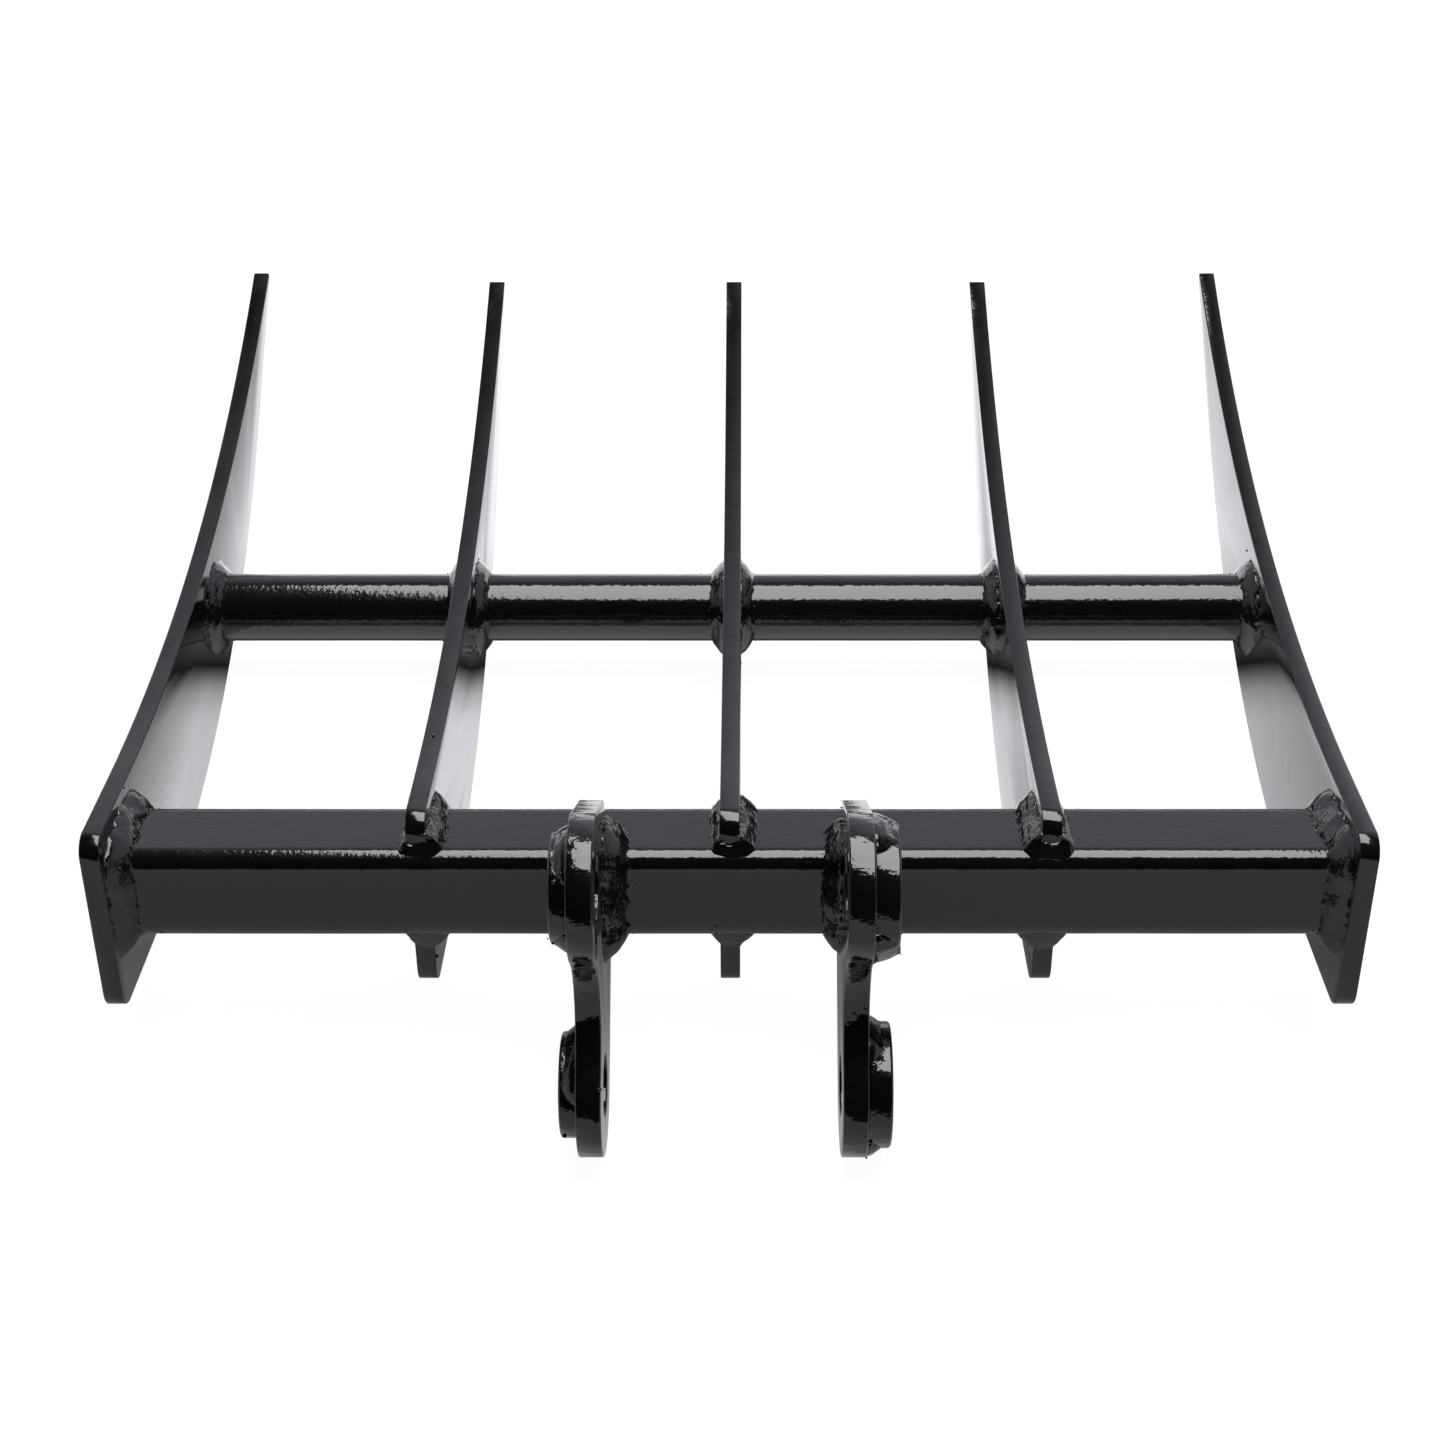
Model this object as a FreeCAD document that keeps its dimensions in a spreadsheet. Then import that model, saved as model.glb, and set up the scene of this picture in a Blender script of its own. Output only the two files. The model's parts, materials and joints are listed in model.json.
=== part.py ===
import FreeCAD, Part
import math
import os
import Sketcher

# A welded digging rake for a mini excavator: five curved plate tines, a square tube beam, a round
# cross tube, and two ears with bossed pin bores that hang it on the machine.
# Frame: the origin is the middle of the upper (dipper) pin's axis, +X runs along the beam to the
# right, +Y towards the tips. The rake is modelled level with its beam and then tilted about the
# pin until it lies on its back, on the ears' lower ends and the bellies of the tines.

SIZES = (
    ("tine_pitch", 156.25, "centre to centre of neighbouring tines"),
    ("tine_thickness", 10, "tine plate"),
    ("outer_tine_length", 514, "outer tine, front edge to tip"),
    ("inner_tine_length", 507, "inner tine, tip measured from the outer tine's front edge"),
    ("tip_width", 4.5, "blunt end of a tine"),
    ("plate_lead", 15, "outer tine's front edge ahead of the beam"),
    ("plate_rise", 17.7, "tine's top edge above the beam"),
    ("plate_drop", 34.1, "tine's bottom edge below the beam"),
    ("plate_corner", 11, "rounded front corners of the tines"),
    ("top_flat", 60, "straight part of the top edge, from the front edge"),
    ("top_radius", 950, "hollow curve of the top edge"),
    ("bottom_flat", 68, "straight part of the bottom edge, from the front edge"),
    ("belly_radius", 545, "round back of a tine"),
    ("finger_setback", 7, "inner tine's two fingers end behind the beam's front"),
    ("right_inner_shift", 4, "right inner tine stands off its even place, as welded"),
    ("beam_size", 50.8, "square tube, outside"),
    ("beam_wall", 5, "square tube's wall"),
    ("beam_corner", 8.7, "square tube's outside corner radius"),
    ("pin_to_beam", 47, "dipper pin's axis to the beam's front"),
    ("pin_above_beam", 13.1, "dipper pin's axis above the beam's top"),
    ("tube_diameter", 40, "cross tube, outside"),
    ("tube_wall", 4, "cross tube's wall"),
    ("tube_reach", 263, "cross tube's centre behind the beam's front"),
    ("tube_height", 30.5, "cross tube's centre above the beam's centre"),
    ("seat_gap", 0.3, "play round the beam and the cross tube where a plate is cut for them"),
    ("ear_gap", 118, "between the ears' inner faces"),
    ("ear_shift", -3.5, "middle of the two ears from the middle of the beam"),
    ("ear_thickness", 12.7, "ear plate"),
    ("lobe_radius", 36, "round end of an ear about each pin"),
    ("pin_spacing", 120, "link pin below the dipper pin"),
    ("pin_stagger", 2, "link pin behind the dipper pin"),
    ("pin_bore", 32, "both pins' bores"),
    ("waist_radius", 46, "hollow of the ear's front edge between the pins"),
    ("brow_reach", 16, "ear's upper corner behind the beam's front"),
    ("brow_height", 23.3, "ear's upper corner above the beam"),
    ("ear_wrap", 30, "ear's reach over and under the beam"),
    ("heel_height", 22, "ear's lower finger below the beam"),
    ("left_boss_diameter", 53, "bosses on the left ear"),
    ("right_boss_diameter", 63, "bosses on the right ear"),
    ("left_boss_height", 9, "left bosses stand out of the ear"),
    ("right_boss_height", 12, "right bosses stand out of the ear"),
    ("boss_chamfer", 1, "bevel on a boss's outer rim"),
    ("tube_weld", 8.5, "leg of the weld round the cross tube"),
    ("beam_weld", 11, "leg of the welds along the beam"),
    ("weld_lip", 0.8, "thickness at a weld's thin edge"),
    ("boss_weld", 4.2, "leg of the welds that hold a boss"),
    ("boss_weld_sweep", 104, "arc of each boss weld, in degrees"),
)

OUTER_TINES = {"left_outer": -2, "right_outer": 2}
INNER_TINES = {"left_inner": -1, "centre": 0, "right_inner": 1}
TINES = {**OUTER_TINES, **INNER_TINES}
SIDES = {"left": -1, "right": 1}

# The rounded end of a bead stands out from the plate by this share of its leg.
BEAD_END = 0.75
# How near two measured places are to count as the same, in millimetres.
SAME = 0.01

NORMAL = FreeCAD.Vector(0, 0, 1)
ACROSS = FreeCAD.Vector(1, 0, 0)
# Turns a drawing's own x, y and normal into the rake's Y, Z and X.
UPRIGHT = FreeCAD.Rotation(FreeCAD.Vector(1, 1, 1), 120)

doc = FreeCAD.newDocument("rake")


def make_sheet():
    sheet = doc.addObject("Spreadsheet::Sheet", "Sizes")
    for row, (alias, value, note) in enumerate(SIZES, start=1):
        sheet.set("A%d" % row, alias)
        sheet.set("B%d" % row, str(value))
        sheet.setAlias("B%d" % row, alias)
        sheet.set("C%d" % row, note)
    doc.recompute()
    return sheet


class Dim:
    """A length with its number and the expression over the sheet's cells that gives it."""

    def __init__(self, value, text):
        self.value = value
        self.text = text

    def __add__(self, other):
        other = as_dim(other)
        return Dim(self.value + other.value, "(%s + %s)" % (self.text, other.text))

    def __sub__(self, other):
        other = as_dim(other)
        return Dim(self.value - other.value, "(%s - %s)" % (self.text, other.text))

    def __neg__(self):
        return Dim(-self.value, "(-1 * %s)" % self.text)

    def __mul__(self, factor):
        factor = as_dim(factor)
        return Dim(self.value * factor.value, "(%s * %s)" % (self.text, factor.text))

    def __truediv__(self, divisor):
        return Dim(self.value / divisor, "(%s / %s)" % (self.text, divisor))


def as_dim(value):
    return value if isinstance(value, Dim) else Dim(value, "(%s)" % value)


class Cells:
    """Gives the sheet's cells by their aliases."""

    def __getattr__(self, alias):
        return Dim(float(getattr(SHEET, alias)), "Sizes." + alias)


SHEET = make_sheet()
size = Cells()

# Places that several pieces share, level with the beam.
BEAM_FRONT = size.pin_to_beam
BEAM_BACK = BEAM_FRONT + size.beam_size
BEAM_TOP = -size.pin_above_beam
BEAM_FLOOR = BEAM_TOP - size.beam_size
PLATE_FRONT = BEAM_FRONT - size.plate_lead
PLATE_TOP = BEAM_TOP + size.plate_rise
PLATE_FLOOR = BEAM_FLOOR - size.plate_drop
FINGER_FRONT = BEAM_FRONT + size.finger_setback
TUBE_Y = BEAM_FRONT + size.tube_reach
TUBE_Z = BEAM_TOP - size.beam_size / 2 + size.tube_height
INSIDE_WIDTH = size.tine_pitch * (len(TINES) - 1) - size.tine_thickness
FLUSH = as_dim(0)
DIPPER_PIN = (FLUSH, FLUSH)
LINK_PIN = (size.pin_stagger, -size.pin_spacing)


def bind(thing, property_name, dim):
    thing.setExpression(property_name, dim.text)


def drawing(name, body=None, out=None):
    """An empty sketch in the rake's side view, in a body or on its own, out along X if wanted."""
    if body is None:
        sketch = doc.addObject("Sketcher::SketchObject", name)
        sketch.Placement = FreeCAD.Placement(FreeCAD.Vector(), UPRIGHT)
        if out is not None:
            bind(sketch, "Placement.Base.x", out)
        return sketch
    sketch = body.newObject("Sketcher::SketchObject", name)
    plane = next(part for part in body.Origin.OriginFeatures if part.Role == "YZ_Plane")
    sketch.AttachmentSupport = [(plane, "")]
    sketch.MapMode = "FlatFace"
    return sketch


class Outline:
    """One closed loop of a sketch: straight runs and arcs that are then tied to the sheet."""

    def __init__(self, sketch):
        self.sketch = sketch
        self.pieces = []

    def line(self, start, end):
        run = Part.LineSegment(FreeCAD.Vector(*start, 0), FreeCAD.Vector(*end, 0))
        index = self.sketch.addGeometry(run, False)
        self.pieces.append((index, 1, 2))
        return index

    def arc(self, centre, radius, start, sweep):
        """Angles in degrees; a negative sweep runs clockwise."""
        low, high = sorted((math.radians(start), math.radians(start + sweep)))
        circle = Part.Circle(FreeCAD.Vector(*centre, 0), NORMAL, radius)
        index = self.sketch.addGeometry(Part.ArcOfCircle(circle, low, high), False)
        self.pieces.append((index, 1, 2) if sweep > 0 else (index, 2, 1))
        return index

    def close(self, sharp=()):
        """Joins each piece to the next, smoothly unless its number is in sharp."""
        for number, (piece, _, leave) in enumerate(self.pieces):
            following, enter, _ = self.pieces[(number + 1) % len(self.pieces)]
            joint = "Coincident" if number in sharp else "Tangent"
            self.sketch.addConstraint(Sketcher.Constraint(joint, piece, leave, following, enter))

    def name(self, constraint, label, dim):
        self.sketch.renameConstraint(constraint, label)
        bind(self.sketch, "Constraints." + label, dim)

    def across(self, label, piece, point, dim):
        made = Sketcher.Constraint("DistanceX", -1, 1, piece, point, dim.value)
        self.name(self.sketch.addConstraint(made), label, dim)

    def up(self, label, piece, point, dim):
        made = Sketcher.Constraint("DistanceY", -1, 1, piece, point, dim.value)
        self.name(self.sketch.addConstraint(made), label, dim)

    def radius(self, label, piece, dim):
        made = Sketcher.Constraint("Radius", piece, dim.value)
        self.name(self.sketch.addConstraint(made), label, dim)

    def same_radius(self, piece, other):
        self.sketch.addConstraint(Sketcher.Constraint("Equal", piece, other))

    def level(self, *pieces):
        for piece in pieces:
            self.sketch.addConstraint(Sketcher.Constraint("Horizontal", piece))

    def plumb(self, *pieces):
        for piece in pieces:
            self.sketch.addConstraint(Sketcher.Constraint("Vertical", piece))


def draw_circle(sketch, label, centre, diameter):
    loop = Outline(sketch)
    middle = FreeCAD.Vector(centre[0].value, centre[1].value, 0)
    ring = sketch.addGeometry(Part.Circle(middle, NORMAL, diameter.value / 2), False)
    loop.across(label + "_across", ring, 3, centre[0])
    loop.up(label + "_up", ring, 3, centre[1])
    loop.radius(label + "_radius", ring, diameter / 2)


def draw_beam_section(sketch, label, offset, corner):
    """The beam's rounded square, moved out by offset on all sides."""
    front, back = BEAM_FRONT - offset, BEAM_BACK + offset
    low, high = BEAM_FLOOR - offset, BEAM_TOP + offset
    y0, y1, z0, z1, r = front.value, back.value, low.value, high.value, corner.value
    loop = Outline(sketch)
    floor = loop.line((y0 + r, z0), (y1 - r, z0))
    first = loop.arc((y1 - r, z0 + r), r, 270, 90)
    rear = loop.line((y1, z0 + r), (y1, z1 - r))
    others = [loop.arc((y1 - r, z1 - r), r, 0, 90)]
    top = loop.line((y1 - r, z1), (y0 + r, z1))
    others.append(loop.arc((y0 + r, z1 - r), r, 90, 90))
    face = loop.line((y0, z1 - r), (y0, z0 + r))
    others.append(loop.arc((y0 + r, z0 + r), r, 180, 90))
    loop.close()
    loop.level(floor, top)
    loop.plumb(rear, face)
    for other in others:
        loop.same_radius(first, other)
    loop.radius(label + "_corner", first, corner)
    loop.across(label + "_front", face, 1, front)
    loop.across(label + "_back", rear, 1, back)
    loop.up(label + "_floor", floor, 1, low)
    loop.up(label + "_top", top, 1, high)


def make_body(label, out):
    """A body whose first face stands at out along X."""
    body = doc.addObject("PartDesign::Body", label)
    bind(body, "Placement.Base.x", out)
    return body


def pad(body, sketch, length, reverse=False):
    feature = body.newObject("PartDesign::Pad", body.Name + "_pad")
    feature.Profile = sketch
    feature.Reversed = reverse
    bind(feature, "Length", length)
    doc.recompute()
    return feature


def cut_through(body, sketch):
    """Cuts the sketch right through, and makes sure that it took something away."""
    before = body.Shape.Volume
    feature = body.newObject("PartDesign::Pocket", sketch.Name + "_cut")
    feature.Profile = sketch
    feature.Type = "ThroughAll"
    feature.Reversed = True
    doc.recompute()
    if body.Shape.Volume >= before:
        raise RuntimeError(sketch.Name + " cuts nothing")


def make_beam():
    body = make_body("main_beam", -INSIDE_WIDTH / 2)
    outside = drawing("beam_outside", body)
    draw_beam_section(outside, "outer", FLUSH, size.beam_corner)
    pad(body, outside, INSIDE_WIDTH)
    inside = drawing("beam_inside", body)
    draw_beam_section(inside, "inner", -size.beam_wall, size.beam_corner - size.beam_wall)
    cut_through(body, inside)
    return body


def make_cross_tube():
    body = make_body("cross_tube", -INSIDE_WIDTH / 2)
    outside = drawing("tube_outside", body)
    draw_circle(outside, "outer", (TUBE_Y, TUBE_Z), size.tube_diameter)
    pad(body, outside, INSIDE_WIDTH)
    inside = drawing("tube_inside", body)
    draw_circle(inside, "inner", (TUBE_Y, TUBE_Z), size.tube_diameter - size.tube_wall * 2)
    cut_through(body, inside)
    return body


def tine_tip(length):
    """The two corners of a tine's blunt end, where the hollow top edge brings them."""
    bend = PLATE_FRONT + size.top_flat
    reach = PLATE_FRONT + length
    radius = size.top_radius.value
    rise = radius - math.sqrt(radius ** 2 - (reach - bend).value ** 2)
    top = PLATE_TOP.value + rise
    return (reach.value, top), (reach.value, top - size.tip_width.value)


def belly_arc(tip):
    """The belly's centre, the slopes in degrees where its arc begins and ends, and if a run follows.

    The arc leaves the flat smoothly and a straight run leads on to the tip. In a tine too short
    for that, the arc goes straight from the end of the flat to the tip.
    """
    radius = size.belly_radius.value
    heel = ((PLATE_FRONT + size.bottom_flat).value, PLATE_FLOOR.value)
    centre = (heel[0], heel[1] + radius)
    away = math.dist(centre, tip)
    if away > radius:
        turn = math.atan2(tip[0] - centre[0], centre[1] - tip[1]) - math.acos(radius / away)
        return centre, 0.0, math.degrees(turn), True
    slope = math.atan2(tip[1] - heel[1], tip[0] - heel[0])
    half = math.asin(math.dist(heel, tip) / 2 / radius)
    begin = slope - half
    centre = (heel[0] - radius * math.sin(begin), heel[1] + radius * math.cos(begin))
    return centre, math.degrees(begin), math.degrees(slope + half), False


def draw_tine(sketch, front, length):
    """A tine's outline: flat about the beam, then a hollow top edge and a round belly to the tip."""
    tip = PLATE_FRONT + length
    bend = PLATE_FRONT + size.top_flat
    heel = PLATE_FRONT + size.bottom_flat
    y0, r = front.value, size.plate_corner.value
    z0, z1 = PLATE_FLOOR.value, PLATE_TOP.value
    big, belly = size.top_radius.value, size.belly_radius.value
    rise = math.degrees(math.asin((tip - bend).value / big))
    tip_top, tip_low = tine_tip(length)
    centre, begin, finish, has_run = belly_arc(tip_low)
    leave = (centre[0] + belly * math.sin(math.radians(finish)),
             centre[1] - belly * math.cos(math.radians(finish)))
    loop = Outline(sketch)
    face = loop.line((y0, z0 + r), (y0, z1 - r))
    upper = loop.arc((y0 + r, z1 - r), r, 180, -90)
    top = loop.line((y0 + r, z1), (bend.value, z1))
    hollow = loop.arc((bend.value, z1 + big), big, 270, rise)
    end = loop.line(tip_top, tip_low)
    if has_run:
        loop.line(tip_low, leave)
    back = loop.arc(centre, belly, 270 + finish, begin - finish)
    floor = loop.line((heel.value, z0), (y0 + r, z0))
    lower = loop.arc((y0 + r, z0 + r), r, 270, -90)
    loop.close(sharp=(3, 4) if has_run else (3, 4, 5))
    loop.plumb(face, end)
    loop.level(top, floor)
    loop.same_radius(upper, lower)
    loop.radius("corner", upper, size.plate_corner)
    loop.across("front", face, 2, front)
    loop.up("top", top, 1, PLATE_TOP)
    loop.up("floor", floor, 2, PLATE_FLOOR)
    loop.across("bend", top, 2, bend)
    loop.across("heel", floor, 1, heel)
    loop.across("tip", end, 1, tip)
    loop.radius("hollow", hollow, size.top_radius)
    loop.radius("belly", back, size.belly_radius)
    blunt = Sketcher.Constraint("Distance", end, size.tip_width.value)
    loop.name(sketch.addConstraint(blunt), "blunt", size.tip_width)


def tine_middle(name):
    """Where a tine's middle stands along X."""
    even = size.tine_pitch * TINES[name]
    return even + size.right_inner_shift if name == "right_inner" else even


def make_tine(name):
    body = make_body(name + "_tine", tine_middle(name) - size.tine_thickness / 2)
    outline = drawing(name + "_outline", body)
    if name in OUTER_TINES:
        draw_tine(outline, PLATE_FRONT, size.outer_tine_length)
        pad(body, outline, size.tine_thickness)
        return body
    draw_tine(outline, FINGER_FRONT, size.inner_tine_length)
    pad(body, outline, size.tine_thickness)
    notch = drawing(name + "_notch", body)
    draw_beam_section(notch, "notch", size.seat_gap, size.beam_corner + size.seat_gap)
    cut_through(body, notch)
    hole = drawing(name + "_hole", body)
    draw_circle(hole, "hole", (TUBE_Y, TUBE_Z), size.tube_diameter + size.seat_gap * 2)
    cut_through(body, hole)
    return body


def tangent_angle(centre, radius, point):
    """Direction from centre to where a line from point touches the circle on its lower right."""
    dy, dz = point[0] - centre[0], point[1] - centre[1]
    return math.degrees(math.atan2(dz, dy) - math.acos(radius / math.hypot(dy, dz)))


def draw_ear(sketch):
    """An ear's outline: a round lobe about each pin, a hollow waist and a hook over the beam."""
    radius = size.lobe_radius.value
    waist = size.waist_radius.value
    low_y, low_z = LINK_PIN[0].value, LINK_PIN[1].value
    brow = (BEAM_FRONT + size.brow_reach, BEAM_TOP + size.brow_height)
    hook = (BEAM_FRONT + size.ear_wrap, BEAM_TOP)
    heel = (hook[0], BEAM_FLOOR - size.heel_height)
    corner, seat, foot = [(dim[0].value, dim[1].value) for dim in (brow, hook, heel)]
    # The brow's line touches the upper lobe, the heel's line the lower one.
    span = math.hypot(*corner)
    rest = math.degrees(math.atan2(corner[1], corner[0]) + math.acos(radius / span))
    base = tangent_angle((low_y, low_z), radius, foot)
    start = (radius * math.cos(math.radians(rest)), radius * math.sin(math.radians(rest)))
    touch = (low_y + radius * math.cos(math.radians(base)),
             low_z + radius * math.sin(math.radians(base)))
    # The waist's centre lies as far from both pins, in front of them.
    between = math.hypot(low_y, low_z)
    out = math.sqrt((radius + waist) ** 2 - (between / 2) ** 2)
    hollow = (low_y / 2 + out * low_z / between, low_z / 2 - out * low_y / between)
    from_top = math.degrees(math.atan2(hollow[1], hollow[0])) % 360
    from_low = math.degrees(math.atan2(hollow[1] - low_z, hollow[0] - low_y)) % 360
    loop = Outline(sketch)
    slope = loop.line(start, corner)
    back = loop.line(corner, seat)
    drop = loop.line(seat, foot)
    loop.line(foot, touch)
    lower = loop.arc((low_y, low_z), radius, base % 360, from_low - base % 360)
    neck = loop.arc(hollow, waist, from_low - 180, from_top - from_low)
    upper = loop.arc((0, 0), radius, from_top, rest - from_top)
    loop.close(sharp=(0, 1, 2))
    for label, point, dims in (("brow", slope, brow), ("hook", back, hook), ("heel", drop, heel)):
        loop.across(label + "_across", point, 2, dims[0])
        loop.up(label + "_up", point, 2, dims[1])
    loop.across("link_across", lower, 3, LINK_PIN[0])
    loop.up("link_up", lower, 3, LINK_PIN[1])
    sketch.addConstraint(Sketcher.Constraint("Coincident", upper, 3, -1, 1))
    loop.radius("lobe", lower, size.lobe_radius)
    loop.same_radius(upper, lower)
    loop.radius("waist", neck, size.waist_radius)


def ear_face(side, outer):
    """Where an ear's inner or outer face stands along X."""
    away = size.ear_gap / 2 + size.ear_thickness if outer else size.ear_gap / 2
    return size.ear_shift + away * side


def make_ear(name, side):
    body = make_body(name + "_ear", ear_face(side, outer=side < 0))
    outline = drawing(name + "_ear_outline", body)
    draw_ear(outline)
    pad(body, outline, size.ear_thickness)
    notch = drawing(name + "_ear_notch", body)
    draw_beam_section(notch, "notch", size.seat_gap, size.beam_corner + size.seat_gap)
    cut_through(body, notch)
    bores = drawing(name + "_ear_bores", body)
    draw_circle(bores, "dipper", DIPPER_PIN, size.pin_bore)
    draw_circle(bores, "link", LINK_PIN, size.pin_bore)
    cut_through(body, bores)
    return body


def boss_diameter(side):
    return size.left_boss_diameter if side < 0 else size.right_boss_diameter


def boss_height(side):
    return size.left_boss_height if side < 0 else size.right_boss_height


def make_boss(name, side, pin, centre):
    label = "%s_%s_boss" % (name, pin)
    body = make_body(label, ear_face(side, outer=True))
    ring = drawing(label + "_ring", body)
    draw_circle(ring, "rim", centre, boss_diameter(side))
    draw_circle(ring, "bore", centre, size.pin_bore)
    feature = pad(body, ring, boss_height(side), reverse=side < 0)
    rims = []
    for number, edge in enumerate(feature.Shape.Edges, start=1):
        if not isinstance(edge.Curve, Part.Circle):
            continue
        far = abs(abs(edge.Curve.Center.x) - boss_height(side).value) < SAME
        wide = abs(edge.Curve.Radius * 2 - boss_diameter(side).value) < SAME
        if far and wide:
            rims.append("Edge%d" % number)
    bevel = body.newObject("PartDesign::Chamfer", label + "_bevel")
    bevel.Base = (feature, rims)
    bind(bevel, "Size", size.boss_chamfer)
    doc.recompute()
    return body


def ring_weld_sketch(name, reach, leg, centre_gap, both_ways):
    """Half sections of fillet welds on a round bar, for turning about X.

    reach is the bar's radius and centre_gap the distance of the plate's face from the middle.
    """
    sketch = doc.addObject("Sketcher::SketchObject", name)
    sketch.Placement = FreeCAD.Placement(FreeCAD.Vector(), FreeCAD.Rotation(ACROSS, 90))
    for label, way, rise in both_ways:
        x0 = centre_gap * way
        x1 = (centre_gap + leg) * way
        z0 = reach * rise
        z1 = (reach + leg) * rise
        bead = Outline(sketch)
        base = bead.line((x0.value, z0.value), (x1.value, z0.value))
        bead.line((x1.value, z0.value), (x0.value, z1.value))
        wall = bead.line((x0.value, z1.value), (x0.value, z0.value))
        bead.close(sharp=(0, 1, 2))
        bead.level(base)
        bead.plumb(wall)
        bead.across(label + "_root", base, 1, x0)
        bead.across(label + "_toe", base, 2, x1)
        bead.up(label + "_seat", base, 1, z0)
        bead.up(label + "_crest", wall, 1, z1)
    return sketch


def turned_weld(label, sketch, centre, out, sweep=None):
    weld = doc.addObject("Part::Revolution", label + "_turned")
    weld.Source = sketch
    weld.Axis = ACROSS
    weld.Solid = True
    weld.Symmetric = sweep is not None
    if sweep is None:
        weld.Angle = 360
    else:
        bind(weld, "Angle", sweep)
    carrier = doc.addObject("Part::Compound", label)
    carrier.Links = [weld]
    for axis, dim in zip("xyz", (out, centre[0], centre[1])):
        bind(weld, "Placement.Base." + axis, dim)
    return carrier


def make_tube_weld(name):
    """The cross tube's fillets: both faces of an inner tine, the inner face of an outer one."""
    if name in INNER_TINES:
        ways = (("left", -1, 1), ("right", 1, 1))
    else:
        ways = (("inward", -1 if name == "right_outer" else 1, 1),)
    label = name + "_tube_weld"
    section = ring_weld_sketch(label + "_section", size.tube_diameter / 2, size.tube_weld,
                               size.tine_thickness / 2, ways)
    return turned_weld(label, section, (TUBE_Y, TUBE_Z), tine_middle(name))


def make_boss_weld(name, side, pin, centre):
    """Two short fillets, over and under the boss, on the ear's outer face."""
    label = "%s_%s_boss_weld" % (name, pin)
    ways = (("over", side, 1), ("under", side, -1))
    section = ring_weld_sketch(label + "_section", boss_diameter(side) / 2, size.boss_weld,
                               FLUSH, ways)
    return turned_weld(label, section, centre, ear_face(side, outer=True), size.boss_weld_sweep)


def seam(label, face, way):
    """A fillet all round the beam against a plate whose face is at face, on the side of way."""
    wide = drawing(label + "_wide", out=face)
    draw_beam_section(wide, "wide", size.beam_weld, size.beam_corner + size.beam_weld)
    thin = drawing(label + "_thin", out=face + size.beam_weld * way)
    draw_beam_section(thin, "thin", size.weld_lip, size.beam_corner + size.weld_lip)
    loft = doc.addObject("Part::Loft", label + "_loft")
    loft.Sections = [wide, thin]
    loft.Solid = True
    loft.Ruled = True
    return loft


def beam_core():
    section = drawing("core_section", out=-INSIDE_WIDTH / 2)
    draw_beam_section(section, "core", FLUSH, size.beam_corner)
    core = doc.addObject("Part::Extrusion", "beam_core")
    core.Base = section
    core.DirMode = "Custom"
    core.Dir = ACROSS
    core.Solid = True
    bind(core, "LengthFwd", INSIDE_WIDTH)
    return core


def block(label, low, high):
    """A plain box between two corners."""
    box = doc.addObject("Part::Box", label)
    for axis, side, start, end in zip("xyz", ("Length", "Width", "Height"), low, high):
        bind(box, "Placement.Base." + axis, start)
        bind(box, side, end - start)
    return box


def subtract(label, base, tool):
    cut = doc.addObject("Part::Cut", label)
    cut.Base = base
    cut.Tool = tool
    return cut


def join(label, shapes):
    fused = doc.addObject("Part::MultiFuse", label)
    fused.Shapes = shapes
    return fused


def make_end_weld(name, side, core):
    loft = seam(name + "_end_seam", INSIDE_WIDTH / 2 * side, -side)
    return subtract(name + "_beam_end_weld", loft, core)


def make_ear_weld(name, side, core):
    """Fillets on both faces of an ear, along its hook over, in front of and under the beam."""
    label = name + "_ear_weld"
    inner = seam(label + "_inner", ear_face(side, outer=False), -side)
    outer = seam(label + "_outer", ear_face(side, outer=True), side)
    bare = subtract(label + "_bare", join(label + "_pair", [inner, outer]), core)
    reach = size.ear_thickness + size.beam_weld * 2
    middle = size.ear_shift + (size.ear_gap + size.ear_thickness) / 2 * side
    behind = block(label + "_behind",
                   (middle - reach, BEAM_FRONT + size.ear_wrap, BEAM_FLOOR - size.beam_size),
                   (middle + reach, BEAM_BACK + size.beam_size, BEAM_TOP + size.beam_size))
    return subtract(label, bare, behind)


def bead_end(label, middle, front, height, down):
    """The end of a bead, where it runs round the front of a tine's finger, as a tapered cone."""
    cone = doc.addObject("Part::Cone", label)
    turn = FreeCAD.Rotation(ACROSS, 180 if down else 0)
    cone.Placement = FreeCAD.Placement(FreeCAD.Vector(), turn)
    bind(cone, "Radius1", size.tine_thickness / 2 + size.beam_weld * BEAD_END)
    bind(cone, "Radius2", size.tine_thickness / 2 + size.weld_lip)
    bind(cone, "Height", size.beam_weld + size.beam_corner)
    foot = height + size.beam_corner if down else height - size.beam_corner
    for axis, dim in zip("xyz", (middle, front, foot)):
        bind(cone, "Placement.Base." + axis, dim)
    return cone


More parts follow.
